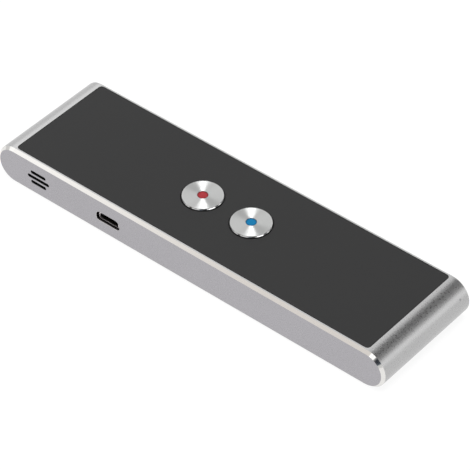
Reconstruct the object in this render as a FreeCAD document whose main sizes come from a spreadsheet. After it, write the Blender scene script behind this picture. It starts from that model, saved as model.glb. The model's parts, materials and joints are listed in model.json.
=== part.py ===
import FreeCAD, Part
import math
import os
import Sketcher

# Handheld translator: bar-shaped metal housing with a flush front plate and two push buttons.
# Frame: origin at the centre of the flat rest face, +X along the length, +Y across the width,
# +Z up through the front plate. All sizes in millimetres.

V = FreeCAD.Vector
doc = FreeCAD.newDocument("handheld_translator")
sheet = doc.addObject("Spreadsheet::Sheet", "Dims")


class E:
    """A length that knows its number and the spreadsheet expression that gives it."""

    def __init__(self, v, t):
        self.v, self.t = float(v), t

    @staticmethod
    def of(x):
        return x if isinstance(x, E) else E(x, "%.10g" % x)

    def _op(self, other, sign, v):
        return E(v, "(" + self.t + " " + sign + " " + E.of(other).t + ")")

    def __add__(self, o):
        return self._op(o, "+", self.v + E.of(o).v)

    def __sub__(self, o):
        return self._op(o, "-", self.v - E.of(o).v)

    def __mul__(self, o):
        return self._op(o, "*", self.v * E.of(o).v)

    def __truediv__(self, o):
        return self._op(o, "/", self.v / E.of(o).v)

    def __radd__(self, o):
        return E.of(o) + self

    def __rsub__(self, o):
        return E.of(o) - self

    def __rmul__(self, o):
        return E.of(o) * self

    def __neg__(self):
        return E(0, "0") - self


row = [1]


def dim(alias, value, note):
    n = row[0]
    sheet.set("A%d" % n, alias)
    sheet.set("B%d" % n, "%.10g" % value)
    sheet.set("C%d" % n, note)
    sheet.setAlias("B%d" % n, alias)
    row[0] += 1
    return E(value, "Dims." + alias)


# housing
body_len = dim("body_len", 140.0, "overall length")
body_wid = dim("body_wid", 39.0, "overall width")
body_thk = dim("body_thk", 12.6, "overall thickness without the buttons")
edge_cham = dim("edge_cham", 0.85, "polished chamfer round both long side faces")
recess_len = dim("recess_len", 127.2, "front recess length")
recess_wid = dim("recess_wid", 36.4, "front recess width")
recess_rad = dim("recess_rad", 1.2, "front recess corner radius")
floor_thk = dim("floor_thk", 1.0, "housing floor")
cavity_len = dim("cavity_len", 125.0, "inside length")
cavity_wid = dim("cavity_wid", 34.2, "inside width")
cavity_rad = dim("cavity_rad", 0.8, "inside corner radius")
frame_boss_dia = dim("frame_boss_dia", 4.0, "screw pillar for the inner frame")
frame_boss_top = dim("frame_boss_top", 9.2, "pillar height above the rest face")
board_boss_dia = dim("board_boss_dia", 3.6, "screw pillar for the board")
board_boss_top = dim("board_boss_top", 4.0, "underside of the board")
# front plate
panel_gap = dim("panel_gap", 0.08, "gap between front plate and recess")
panel_thk = dim("panel_thk", 1.0, "front plate thickness")
panel_edge = dim("panel_edge", 0.1, "edge break on the front plate")
tape_thk = dim("tape_thk", 0.2, "adhesive under the front plate")
tape_wid = dim("tape_wid", 0.7, "adhesive strip width")
# buttons
red_x = dim("red_x", -9.1, "red button along the length")
blue_x = dim("blue_x", 8.5, "blue button along the length")
cap_dia = dim("cap_dia", 12.1, "button cap diameter")
cap_proud = dim("cap_proud", 0.55, "cap height above the front plate")
cap_bevel = dim("cap_bevel", 0.03, "edge break round the cap face")
skirt_out = dim("skirt_out", 0.12, "how far the cap flares out below its face")
skirt_top = dim("skirt_top", 0.2, "start of the flare below the cap face")
skirt_low = dim("skirt_low", 0.42, "end of the flare below the cap face")
cap_wall = dim("cap_wall", 0.5, "cap sheet thickness")
btn_hole_dia = dim("btn_hole_dia", 12.6, "button hole in the front plate")
dot_dia = dim("dot_dia", 3.2, "hole for the coloured dot")
dot_sunk = dim("dot_sunk", 0.05, "dot depth below the cap face")
flange_dia = dim("flange_dia", 13.8, "retaining flange under the plate")
flange_thk = dim("flange_thk", 0.6, "retaining flange thickness")
flange_gap = dim("flange_gap", 0.1, "flange to plate underside at rest")
btn_travel = dim("btn_travel", 0.3, "push travel")
# sound slots
slot_x = dim("slot_x", -54.13, "middle of the slot group")
slot_long = dim("slot_long", 8.25, "middle slot length")
slot_short = dim("slot_short", 5.8, "outer slot length")
slot_ht = dim("slot_ht", 1.16, "slot height")
slot_pitch = dim("slot_pitch", 1.8, "slot spacing")
slot_z = dim("slot_z", 6.33, "middle slot height above the rest face")
# charging port
port_x = dim("port_x", -27.65, "port centre along the length")
port_z = dim("port_z", 6.12, "port centre above the rest face")
port_wid = dim("port_wid", 8.6, "port cut-out width")
port_ht = dim("port_ht", 3.2, "port cut-out height")
port_rad_top = dim("port_rad_top", 1.55, "port upper corner radius")
port_rad_low = dim("port_rad_low", 0.95, "port lower corner radius")
relief_y = dim("relief_y", 18.9, "inner face of the thinned wall at the port")
usb_wid = dim("usb_wid", 7.4, "socket shell width")
usb_ht = dim("usb_ht", 2.9, "socket shell height")
usb_sheet = dim("usb_sheet", 0.3, "socket shell sheet thickness")
usb_len = dim("usb_len", 5.2, "socket shell length")
# microphone
mic_y = dim("mic_y", 15.3, "microphone hole across the width")
mic_z = dim("mic_z", 9.4, "microphone hole height")
mic_hole_dia = dim("mic_hole_dia", 0.62, "microphone hole")
# inside
board_thk = dim("board_thk", 0.8, "circuit board thickness")
frame_top = dim("frame_top", 11.2, "top of the inner frame")
frame_plate = dim("frame_plate", 0.9, "inner frame plate thickness")
screw_dia = dim("screw_dia", 1.6, "frame screw thread")
bscrew_dia = dim("bscrew_dia", 1.4, "board screw thread")
cell_len = dim("cell_len", 28.0, "battery length")
cell_wid = dim("cell_wid", 29.0, "battery width")
cell_thk = dim("cell_thk", 6.7, "battery thickness")
cell_x = dim("cell_x", 41.0, "battery middle along the length")
doc.recompute()

end_rad = body_thk / 2
ledge_z = body_thk - panel_thk - tape_thk
board_top = board_boss_top + board_thk
# (x, y) of the frame pillars and of the board pillars
frame_pts = [(-59.4, 14.0), (-44.6, 14.4), (-44.6, -14.4), (22.6, 14.4), (22.6, -14.4), (57.8, 14.4), (57.8, -14.4)]
board_pts = [(-38.5, 13.2), (-38.5, -13.2), (16.5, 13.2), (16.5, -13.2)]

made = []


def keep(obj, node):
    """obj is the finished sub-part of that name."""
    obj.Label = node
    made.append((node, obj))
    return obj


def bind(obj, prop, value):
    value = E.of(value)
    obj.setExpression(prop, value.t)


def place(obj, x=0, y=0, z=0, axis=None, angle=0):
    rot = FreeCAD.Rotation(axis, angle) if axis else FreeCAD.Rotation()
    obj.Placement = FreeCAD.Placement(V(E.of(x).v, E.of(y).v, E.of(z).v), rot)
    for prop, value in (("x", x), ("y", y), ("z", z)):
        if isinstance(value, E):
            obj.setExpression("Placement.Base." + prop, value.t)
    return obj


# ---- Part primitives -------------------------------------------------------------------------


def box(name, x0, x1, y0, y1, z0, z1):
    o = doc.addObject("Part::Box", name)
    bind(o, "Length", E.of(x1) - x0)
    bind(o, "Width", E.of(y1) - y0)
    bind(o, "Height", E.of(z1) - z0)
    return place(o, x0, y0, z0)


def cyl(name, dia, x, y, z0, z1):
    o = doc.addObject("Part::Cylinder", name)
    bind(o, "Radius", E.of(dia) / 2)
    bind(o, "Height", E.of(z1) - z0)
    return place(o, x, y, z0)


def cyl_x(name, dia, x0, x1, y, z):
    o = doc.addObject("Part::Cylinder", name)
    bind(o, "Radius", E.of(dia) / 2)
    bind(o, "Height", E.of(x1) - x0)
    return place(o, x0, y, z, V(0, 1, 0), 90)


def cyl_y(name, dia, x, y0, y1, z):
    o = doc.addObject("Part::Cylinder", name)
    bind(o, "Radius", E.of(dia) / 2)
    bind(o, "Height", E.of(y1) - y0)
    return place(o, x, y0, z, V(1, 0, 0), -90)


def fuse(name, parts):
    o = doc.addObject("Part::MultiFuse", name)
    o.Shapes = parts
    o.Refine = True
    return o


def cut(name, base, tools):
    tool = tools[0] if len(tools) == 1 else fuse(name + "_tools", tools)
    o = doc.addObject("Part::Cut", name)
    o.Base, o.Tool = base, tool
    return o


def common(name, a, b):
    o = doc.addObject("Part::MultiCommon", name)
    o.Shapes = [a, b]
    return o


def group_of(name, parts):
    """Several separate solids of one kind in one node."""
    o = doc.addObject("Part::Compound", name)
    o.Links = parts
    return o


def round_edges(name, base, radius, pick):
    doc.recompute()
    o = doc.addObject("Part::Fillet", name)
    o.Base = base
    r = E.of(radius).v
    o.Edges = [(i + 1, r, r) for i, e in enumerate(base.Shape.Edges) if pick(e)]
    return o


# ---- PartDesign helpers ----------------------------------------------------------------------


def body(name):
    return doc.addObject("PartDesign::Body", name)


def sketch(b, name, role="XY_Plane", offset=0):
    """A sketch on one of the body's own origin planes, moved along the plane's normal."""
    sk = b.newObject("Sketcher::SketchObject", name)
    plane = [f for f in b.Origin.OriginFeatures if f.Role == role][0]
    sk.AttachmentSupport = [(plane, "")]
    sk.MapMode = "FlatFace"
    sk.AttachmentOffset = FreeCAD.Placement(V(0, 0, E.of(offset).v), FreeCAD.Rotation())
    if isinstance(offset, E):
        sk.setExpression("AttachmentOffset.Base.z", offset.t)
    return sk


def pin_point(sk, geo, pos, x, y, tag):
    """Ties one point of the sketch to the origin with driving dimensions."""
    for kind, value, axis in (("DistanceX", E.of(x), -2), ("DistanceY", E.of(y), -1)):
        if abs(value.v) < 1e-9:
            sk.addConstraint(Sketcher.Constraint("PointOnObject", geo, pos, axis))
            continue
        if value.v > 0:
            i = sk.addConstraint(Sketcher.Constraint(kind, -1, 1, geo, pos, value.v))
        else:
            i = sk.addConstraint(Sketcher.Constraint(kind, geo, pos, -1, 1, -value.v))
            value = -value
        name = tag + kind[-1]
        sk.renameConstraint(i, name)
        sk.setExpression("Constraints." + name, value.t)


def polygon(sk, pts, tag="p"):
    first = sk.GeometryCount
    xy = [V(E.of(x).v, E.of(y).v, 0) for x, y in pts]
    n = len(pts)
    for i in range(n):
        sk.addGeometry(Part.LineSegment(xy[i], xy[(i + 1) % n]))
    for i in range(n):
        sk.addConstraint(Sketcher.Constraint("Coincident", first + i, 2, first + (i + 1) % n, 1))
    for i, (x, y) in enumerate(pts):
        pin_point(sk, first + i, 1, x, y, "%s%d" % (tag, i))


def rectangle(sk, cx, cy, lx, ly, tag="r"):
    cx, cy, hx, hy = E.of(cx), E.of(cy), E.of(lx) / 2, E.of(ly) / 2
    polygon(sk, [(cx - hx, cy - hy), (cx + hx, cy - hy), (cx + hx, cy + hy), (cx - hx, cy + hy)], tag)


def circle(sk, x, y, dia, tag):
    g = sk.addGeometry(Part.Circle(V(E.of(x).v, E.of(y).v, 0), V(0, 0, 1), E.of(dia).v / 2))
    i = sk.addConstraint(Sketcher.Constraint("Radius", g, E.of(dia).v / 2))
    sk.renameConstraint(i, tag + "rad")
    sk.setExpression("Constraints." + tag + "rad", (E.of(dia) / 2).t)
    pin_point(sk, g, 3, x, y, tag)


def obround(sk, cx, cy, length, height, tag):
    """Two half circles joined by straight lines, lying along the sketch's first axis."""
    cx, cy, r = E.of(cx), E.of(cy), E.of(height) / 2
    h = E.of(length) / 2 - r
    x0, x1, y = (cx - h).v, (cx + h).v, cy.v
    a = sk.addGeometry(Part.ArcOfCircle(Part.Circle(V(x0, y, 0), V(0, 0, 1), r.v), math.pi / 2, 3 * math.pi / 2))
    low = sk.addGeometry(Part.LineSegment(V(x0, y - r.v, 0), V(x1, y - r.v, 0)))
    c = sk.addGeometry(Part.ArcOfCircle(Part.Circle(V(x1, y, 0), V(0, 0, 1), r.v), -math.pi / 2, math.pi / 2))
    top = sk.addGeometry(Part.LineSegment(V(x1, y + r.v, 0), V(x0, y + r.v, 0)))
    for g1, g2 in ((a, low), (low, c), (c, top), (top, a)):
        sk.addConstraint(Sketcher.Constraint("Tangent", g1, 2, g2, 1))
    i = sk.addConstraint(Sketcher.Constraint("Radius", a, r.v))
    sk.renameConstraint(i, tag + "rad")
    sk.setExpression("Constraints." + tag + "rad", r.t)
    pin_point(sk, a, 3, cx - h, cy, tag + "a")
    pin_point(sk, c, 3, cx + h, cy, tag + "c")


def pad(b, name, sk, length, reverse=False, symmetric=False):
    f = b.newObject("PartDesign::Pad", name)
    f.Profile = sk
    f.Length = E.of(length).v
    bind(f, "Length", length)
    f.Reversed = reverse
    if symmetric:
        f.SideType = "Symmetric"
    doc.recompute()
    return f


def pocket(b, name, sk, length, reverse=False):
    """Cuts along minus the sketch's normal, or along it if reverse, and must remove material."""
    before = b.Shape.Volume
    f = b.newObject("PartDesign::Pocket", name)
    f.Profile = sk
    f.Length = E.of(length).v
    bind(f, "Length", length)
    f.Reversed = reverse
    doc.recompute()
    if b.Shape.Volume > before - 1e-6:
        raise RuntimeError("pocket %s removed nothing" % name)
    return f


def dress(b, name, kind, size, pick):
    """PartDesign fillet or chamfer on the edges of the body's tip that pick chooses."""
    doc.recompute()
    tip = b.Tip
    names = ["Edge%d" % (i + 1) for i, e in enumerate(tip.Shape.Edges) if pick(e)]
    if not names:
        raise RuntimeError("%s picked no edge" % name)
    f = b.newObject("PartDesign::" + kind, name)
    f.Base = (tip, names)
    prop = "Radius" if kind == "Fillet" else "Size"
    setattr(f, prop, E.of(size).v)
    bind(f, prop, size)
    doc.recompute()
    if not f.isValid() or f.Shape.isNull():
        raise RuntimeError("%s failed" % name)
    return f


def revolve(name, pts, x=0, y=0, z=0):
    """A body turned about the vertical axis from a half profile of (radius, height) points."""
    b = body(name)
    sk = sketch(b, name + "_profile", "XZ_Plane")
    polygon(sk, pts)
    f = b.newObject("PartDesign::Revolution", name + "_turned")
    f.Profile = sk
    f.ReferenceAxis = (sk, ["V_Axis"])
    f.Angle = 360
    doc.recompute()
    place(b, x, y, z)
    return b


def along(e, d, tol=1e-6):
    """True for a straight edge along direction d."""
    if not isinstance(e.Curve, Part.Line):
        return False
    t = e.Vertexes[-1].Point - e.Vertexes[0].Point
    return t.Length > 1e-6 and t.normalize().cross(V(*d)).Length < tol


def mid(e):
    return e.valueAt((e.FirstParameter + e.LastParameter) / 2)


def on_plane(e, axis, value, tol=1e-4):
    bb = e.BoundBox
    lo, hi = (bb.XMin, bb.XMax) if axis == "x" else (bb.YMin, bb.YMax) if axis == "y" else (bb.ZMin, bb.ZMax)
    return abs(lo - value) < tol and abs(hi - value) < tol


# ---- housing ---------------------------------------------------------------------------------
# Flat bar with half-round short ends, the same section across its whole width.

shell = body("shell")
sk = sketch(shell, "shell_profile", "XZ_Plane")
obround(sk, 0, end_rad, body_len, body_thk, "s")
pad(shell, "shell_block", sk, body_wid, symmetric=True)
half_w = body_wid.v / 2
dress(shell, "shell_chamfer", "Chamfer", edge_cham, lambda e: on_plane(e, "y", half_w) or on_plane(e, "y", -half_w))

sk = sketch(shell, "recess_outline", "XY_Plane", body_thk)
rectangle(sk, 0, 0, recess_len, recess_wid)
pocket(shell, "recess", sk, panel_thk + tape_thk)
rl, rw = recess_len.v / 2, recess_wid.v / 2
dress(shell, "recess_corners", "Fillet", recess_rad,
      lambda e: along(e, (0, 0, 1)) and abs(abs(mid(e).x) - rl) < 1e-3 and abs(abs(mid(e).y) - rw) < 1e-3)

sk = sketch(shell, "cavity_outline", "XY_Plane", ledge_z)
rectangle(sk, 0, 0, cavity_len, cavity_wid)
pocket(shell, "cavity", sk, ledge_z - floor_thk)
cl, cw = cavity_len.v / 2, cavity_wid.v / 2
dress(shell, "cavity_corners", "Fillet", cavity_rad,
      lambda e: along(e, (0, 0, 1)) and abs(abs(mid(e).x) - cl) < 1e-3 and abs(abs(mid(e).y) - cw) < 1e-3)

root = 0.3  # pillars start a little inside the floor
sk = sketch(shell, "frame_pillar_outline", "XY_Plane", floor_thk - root)
for i, (x, y) in enumerate(frame_pts):
    circle(sk, x, y, frame_boss_dia, "f%d" % i)
pad(shell, "frame_pillars", sk, frame_boss_top - floor_thk + root)
sk = sketch(shell, "board_pillar_outline", "XY_Plane", floor_thk - root)
for i, (x, y) in enumerate(board_pts):
    circle(sk, x, y, board_boss_dia, "b%d" % i)
pad(shell, "board_pillars", sk, board_boss_top - floor_thk + root)
sk = sketch(shell, "frame_thread_outline", "XY_Plane", frame_boss_top)
for i, (x, y) in enumerate(frame_pts):
    circle(sk, x, y, screw_dia + 0.1, "t%d" % i)
pocket(shell, "frame_threads", sk, 4.8)
sk = sketch(shell, "board_thread_outline", "XY_Plane", board_boss_top)
for i, (x, y) in enumerate(board_pts):
    circle(sk, x, y, bscrew_dia + 0.1, "u%d" % i)
pocket(shell, "board_threads", sk, 2.4)

# port: thinned wall inside, then the D-shaped cut-out with its wide side down
sk = sketch(shell, "port_relief_outline", "XZ_Plane", relief_y)
rectangle(sk, port_x, port_z + 0.25, 9.6, 5.1)
pocket(shell, "port_relief", sk, relief_y - cavity_wid / 2 + 0.2)
sk = sketch(shell, "port_outline", "XZ_Plane", body_wid / 2)
rectangle(sk, port_x, port_z, port_wid, port_ht)
pocket(shell, "port_cutout", sk, body_wid / 2 - relief_y + 0.3)


def port_edge(top):
    z = port_z.v + (port_ht.v / 2 if top else -port_ht.v / 2)
    return lambda e: (along(e, (0, 1, 0)) and abs(mid(e).z - z) < 1e-3 and mid(e).y < -relief_y.v
                      and abs(abs(mid(e).x - port_x.v) - port_wid.v / 2) < 1e-3)


dress(shell, "port_top_corners", "Fillet", port_rad_top, port_edge(True))
dress(shell, "port_low_corners", "Fillet", port_rad_low, port_edge(False))
dress(shell, "port_edge_break", "Chamfer", 0.04,
      lambda e: on_plane(e, "y", -half_w) and abs(mid(e).x - port_x.v) < port_wid.v / 2 + 0.2 and 3.5 < mid(e).z < 9)

# sound slots: thinned wall inside, then three obround slots
slot_wall = 1.0
sk = sketch(shell, "slot_relief_outline", "XZ_Plane", body_wid / 2 - slot_wall)
rectangle(sk, slot_x, slot_z, 12.2, 6.6)
pocket(shell, "slot_relief", sk, body_wid / 2 - slot_wall - cavity_wid / 2 + 0.2)
sk = sketch(shell, "slot_outline", "XZ_Plane", body_wid / 2)
obround(sk, slot_x, slot_z + slot_pitch, slot_short, slot_ht, "a")
obround(sk, slot_x, slot_z, slot_long, slot_ht, "b")
obround(sk, slot_x, slot_z - slot_pitch, slot_short, slot_ht, "c")
pocket(shell, "slots", sk, slot_wall + 0.3)

# microphone: sound channel from inside, then a small hole through the rounded end
sk = sketch(shell, "mic_channel_outline", "YZ_Plane", cavity_len / 2 - 0.1)
circle(sk, mic_y, mic_z, 1.2, "c")
pocket(shell, "mic_channel", sk, 5.3, reverse=True)
sk = sketch(shell, "mic_hole_outline", "YZ_Plane", body_len / 2)
circle(sk, mic_y, mic_z, mic_hole_dia, "h")
pocket(shell, "mic_hole", sk, 2.6)
keep(shell, "body_shell")

# ---- front plate and its adhesive ------------------------------------------------------------

panel = body("panel")
panel_z = body_thk - panel_thk
sk = sketch(panel, "panel_outline", "XY_Plane", panel_z)
rectangle(sk, 0, 0, recess_len - 2 * panel_gap, recess_wid - 2 * panel_gap)
pad(panel, "panel_plate", sk, panel_thk)
dress(panel, "panel_corners", "Fillet", recess_rad - panel_gap, lambda e: along(e, (0, 0, 1)))
sk = sketch(panel, "panel_hole_outline", "XY_Plane", body_thk)
circle(sk, red_x, 0, btn_hole_dia, "l")
circle(sk, blue_x, 0, btn_hole_dia, "r")
pocket(panel, "panel_holes", sk, panel_thk)
dress(panel, "panel_edge_break", "Chamfer", panel_edge, lambda e: on_plane(e, "z", body_thk.v))
keep(panel, "front_panel")

tape = body("tape")
sk = sketch(tape, "tape_outline", "XY_Plane", ledge_z)
rectangle(sk, 0, 0, recess_len - 0.5, recess_wid - 0.5, "o")
rectangle(sk, 0, 0, recess_len - 0.5 - 2 * tape_wid, recess_wid - 0.5 - 2 * tape_wid, "i")
pad(tape, "tape_frame", sk, tape_thk)
dress(tape, "tape_corners", "Fillet", 0.5, lambda e: along(e, (0, 0, 1)))
keep(tape, "panel_adhesive")

# ---- inner frame -----------------------------------------------------------------------------
# A plate under the front plate with a short skirt, button openings and collars on the pillars.

frame = body("frame")
plate_z = frame_top - frame_plate
fr_len, fr_wid = cavity_len - 0.6, cavity_wid - 0.6
sk = sketch(frame, "frame_outline", "XY_Plane", frame_boss_top)
rectangle(sk, 0, 0, fr_len, fr_wid)
pad(frame, "frame_block", sk, frame_top - frame_boss_top)
dress(frame, "frame_corners", "Fillet", 1.0, lambda e: along(e, (0, 0, 1)))
sk = sketch(frame, "frame_under_outline", "XY_Plane", frame_boss_top)
rectangle(sk, 0, 0, fr_len - 2.4, fr_wid - 2.4)
pocket(frame, "frame_underside", sk, plate_z - frame_boss_top, reverse=True)
sk = sketch(frame, "collar_outline", "XY_Plane", frame_boss_top)
for i, (x, y) in enumerate(frame_pts):
    circle(sk, x, y, frame_boss_dia + 0.4, "k%d" % i)
pad(frame, "collars", sk, plate_z - frame_boss_top + 0.2)
sk = sketch(frame, "frame_opening_outline", "XY_Plane", frame_top)
circle(sk, red_x, 0, flange_dia + 0.6, "l")
circle(sk, blue_x, 0, flange_dia + 0.6, "r")
rectangle(sk, 40, 0, 25, 24, "w")
rectangle(sk, -53.2, 0, 9.0, 22, "v")
pocket(frame, "frame_openings", sk, frame_plate + 0.05)
sk = sketch(frame, "head_outline", "XY_Plane", frame_top)
for i, (x, y) in enumerate(frame_pts):
    circle(sk, x, y, 3.3, "g%d" % i)
pocket(frame, "head_seats", sk, 1.0)
sk = sketch(frame, "clear_outline", "XY_Plane", frame_top)
for i, (x, y) in enumerate(frame_pts):
    circle(sk, x, y, 1.9, "j%d" % i)
pocket(frame, "clearance_holes", sk, 3.0)
sk = sketch(frame, "mic_notch_outline", "XY_Plane", frame_top + 0.1)
rectangle(sk, 61.325, 14.8, 2.55, 5.0, "m")
pocket(frame, "mic_notch", sk, 3.0)
keep(frame, "inner_frame")


def screw(name, x, y, head_z, head_dia, head_ht, dia, length):
    """Pan-head cross-recess screw: head underside at head_z, thread below it."""
    head = cyl(name + "_head", head_dia, x, y, head_z, head_z + head_ht)
    dome = round_edges(name + "_dome", head, 0.3, lambda e: on_plane(e, "z", (head_z + head_ht).v))
    shank = cyl(name + "_shank", dia, x, y, head_z - length, head_z)
    point = doc.addObject("Part::Cone", name + "_point")
    bind(point, "Radius1", dia * 0.25)
    bind(point, "Radius2", dia / 2)
    bind(point, "Height", 0.4)
    place(point, x, y, head_z - length - 0.4)
    solid = fuse(name + "_solid", [dome, shank, point])
    a = box(name + "_slot_a", x - 0.75, x + 0.75, y - 0.14, y + 0.14, head_z + head_ht - 0.4, head_z + head_ht + 0.1)
    b = box(name + "_slot_b", x - 0.14, x + 0.14, y - 0.75, y + 0.75, head_z + head_ht - 0.4, head_z + head_ht + 0.1)
    return cut(name, solid, [a, b])


keep(group_of("frame_screw_set", [
    screw("frame_screw_%d" % i, x, y, frame_top - 1.0, E.of(3.0), E.of(0.85), screw_dia, 4.9)
    for i, (x, y) in enumerate(frame_pts)]), "frame_screws")
keep(group_of("board_screw_set", [
    screw("board_screw_%d" % i, x, y, board_top, E.of(2.6), E.of(0.7), bscrew_dia, 2.4)
    for i, (x, y) in enumerate(board_pts)]), "board_screws")

# ---- circuit board ---------------------------------------------------------------------------

board = body("board")
sk = sketch(board, "board_outline", "XY_Plane", board_boss_top)
rectangle(sk, -11.0, 0, 62.0, 33.0)
pad(board, "board_plate", sk, board_thk)
dress(board, "board_corners", "Fillet", 1.0, lambda e: along(e, (0, 0, 1)))
sk = sketch(board, "board_hole_outline", "XY_Plane", board_top)
for i, (x, y) in enumerate(board_pts):
    circle(sk, x, y, bscrew_dia + 0.3, "q%d" % i)
pocket(board, "board_holes", sk, board_thk)
keep(board, "main_board")


def chip(name, x, y, lx, ly, ht, dot=True):
    """Flat package with rounded upper edges and a small index dimple."""
    c = box(name + "_block", x - lx / 2, x + lx / 2, y - ly / 2, y + ly / 2, board_top, board_top + ht)
    if not dot:
        return c
    d = cyl(name + "_dimple", 0.7, x - lx / 2 + 0.9, y + ly / 2 - 0.9, board_top + ht - 0.1, board_top + ht + 0.1)
    return cut(name, c, [d])


keep(chip("processor", 5.0, 10.4, 8.0, 8.0, 1.1), "processor_chip")
keep(chip("memory", -7.0, 10.4, 8.0, 6.0, 0.9), "memory_chip")
keep(chip("audio", -36.0, -6.0, 4.0, 4.0, 0.8), "audio_chip")
shield_out = box("shield_outer", -34.5, -17.5, -3.0, 11.5, board_top, board_top + 2.0)
shield_in = box("shield_inner", -34.3, -17.7, -2.8, 11.3, board_top - 0.1, board_top + 1.8)
vents = [cyl("shield_vent_%d%d" % (i, j), 0.8, -31.0 + 3.3 * i, -0.2 + 3.0 * j, board_top + 1.7, board_top + 2.1)
         for i in range(4) for j in range(4)]
keep(cut("shield", shield_out, [shield_in] + vents), "radio_shield")
parts = []
for i, (x, y, lx, ly) in enumerate([
        (-13.5, 6.5, 1.0, 0.5), (-13.5, 8.0, 1.0, 0.5), (-13.5, 9.5, 1.0, 0.5), (-13.5, 11.0, 1.0, 0.5),
        (0.2, -8.0, 1.6, 0.8), (0.2, -9.6, 1.6, 0.8), (-3.0, -8.0, 1.0, 0.5), (-3.0, -9.6, 1.0, 0.5),
        (-6.0, -8.6, 2.0, 1.2), (-11.0, -9.0, 0.5, 1.0), (-12.4, -9.0, 0.5, 1.0), (-13.8, -9.0, 0.5, 1.0),
        (-17.0, -7.0, 2.5, 2.0), (-36.4, -1.6, 1.0, 0.5), (-36.4, -0.2, 1.0, 0.5), (-36.4, 1.2, 1.0, 0.5),
        (7.0, -9.0, 1.6, 0.8), (7.0, -11.0, 1.6, 0.8), (3.4, -12.6, 3.0, 2.6), (-1.6, -13.0, 2.0, 1.2)]):
    parts.append(box("passive_%d" % i, x - lx / 2, x + lx / 2, y - ly / 2, y + ly / 2, board_top, board_top + 0.5))
keep(group_of("passive_set", parts), "board_components")

# ---- buttons and their switches --------------------------------------------------------------

cap_top = body_thk + cap_proud
flange_top = panel_z - flange_gap
flange_low = flange_top - flange_thk
cap_r = cap_dia / 2
stem_top = board_top + 5.0
switch_low = board_top


def button(side, x):
    # spun metal cap: shallow cup with a sharp upper edge, a polished flare below it and a hole for the dot
    neck = cap_r - skirt_out
    keep(revolve(side + "_cap", [
        (dot_dia / 2, cap_top - cap_wall), (cap_r - cap_wall, cap_top - cap_wall), (cap_r - cap_wall, flange_top),
        (cap_r, flange_top), (cap_r, cap_top - skirt_low), (neck, cap_top - skirt_top), (neck, cap_top - cap_bevel),
        (neck - cap_bevel, cap_top), (dot_dia / 2, cap_top)], x),
        side + "_button_cap")
    # coloured insert with a flange behind the cap face
    dot_r = dot_dia / 2 - 0.03
    low = cap_top - cap_wall
    keep(revolve(side + "_dot", [
        (0, low - 0.3), (dot_r + 0.5, low - 0.3), (dot_r + 0.5, low), (dot_r, low), (dot_r, cap_top - dot_sunk - 0.1),
        (dot_r - 0.1, cap_top - dot_sunk), (0, cap_top - dot_sunk)], x), side + "_button_dot")
    # plastic plunger: core inside the cap, flange below the front plate, post on the switch
    core_r = cap_r - cap_wall - 0.04
    keep(revolve(side + "_carrier", [
        (0, stem_top), (1.6, stem_top), (1.6, flange_low - 0.4), (2.0, flange_low), (flange_dia / 2, flange_low),
        (flange_dia / 2, flange_top), (core_r, flange_top), (core_r, low - 0.3), (0, low - 0.3)], x),
        side + "_button_carrier")
    # tact switch: base with a round well, sprung dome, stem and metal cover
    base = box(side + "_sw_block", x - 3.0, x + 3.0, -3.0, 3.0, switch_low, switch_low + 3.2)
    well = cyl(side + "_sw_well", 4.3, x, 0, switch_low + 0.8, switch_low + 3.3)
    keep(cut(side + "_sw_base", base, [well]), side + "_switch_base")
    lid = box(side + "_sw_plate", x - 3.0, x + 3.0, -3.0, 3.0, switch_low + 3.2, switch_low + 3.5)
    hole = cyl(side + "_sw_hole", 3.6, x, 0, switch_low + 3.1, switch_low + 3.6)
    rivets = [cyl("%s_sw_rivet_%d" % (side, i), 0.8, x + sx * 2.45, sy * 2.45, switch_low + 3.3, switch_low + 3.65)
              for i, (sx, sy) in enumerate(((-1, -1), (-1, 1), (1, -1), (1, 1)))]
    keep(fuse(side + "_sw_cover", [cut(side + "_sw_lid", lid, [hole])] + rivets), side + "_switch_cover")
    keep(revolve(side + "_sw_stem", [
        (0, switch_low + 1.55), (0.7, switch_low + 1.55), (0.7, switch_low + 2.0), (2.1, switch_low + 2.0),
        (2.1, switch_low + 3.1), (1.75, switch_low + 3.1), (1.75, stem_top), (0, stem_top)], x),
        side + "_switch_stem")
    # snap dome: shallow sprung metal disc under the stem
    foot, crest = switch_low + 0.8, switch_low + 1.52
    keep(revolve(side + "_sw_dome", [
        (2.0, foot), (2.0, foot + 0.08), (1.5, foot + 0.42), (0.8, crest - 0.02), (0, crest),
        (0, crest - 0.08), (0.78, crest - 0.1), (1.45, foot + 0.34), (1.9, foot)], x), side + "_switch_dome")


button("red", red_x)
button("blue", blue_x)
legs = []
for side, x in (("red", red_x), ("blue", blue_x)):
    for i, (sx, sy) in enumerate(((-1, -1), (-1, 1), (1, -1), (1, 1))):
        y0, y1 = (3.0, 4.3) if sy > 0 else (-4.3, -3.0)
        legs.append(box("%s_leg_%d" % (side, i), x + sx * 2.25 - 0.35, x + sx * 2.25 + 0.35, y0, y1, board_top, board_top + 0.2))
keep(group_of("leg_set", legs), "switch_terminals")

# ---- micro-USB socket ------------------------------------------------------------------------
# Sheet-metal sleeve, wide side down, on the board; its mouth stands just inside the cut-out.


def usb_profile(inset):
    w, z0, z1 = usb_wid / 2 - inset, board_top + inset, board_top + usb_ht - inset
    return [(port_x - w, z0), (port_x + w, z0), (port_x + w, z1 - 1.0 + inset * 0.4),
            (port_x + w - 1.0, z1), (port_x - w + 1.0, z1), (port_x - w, z1 - 1.0 + inset * 0.4)]


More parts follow.
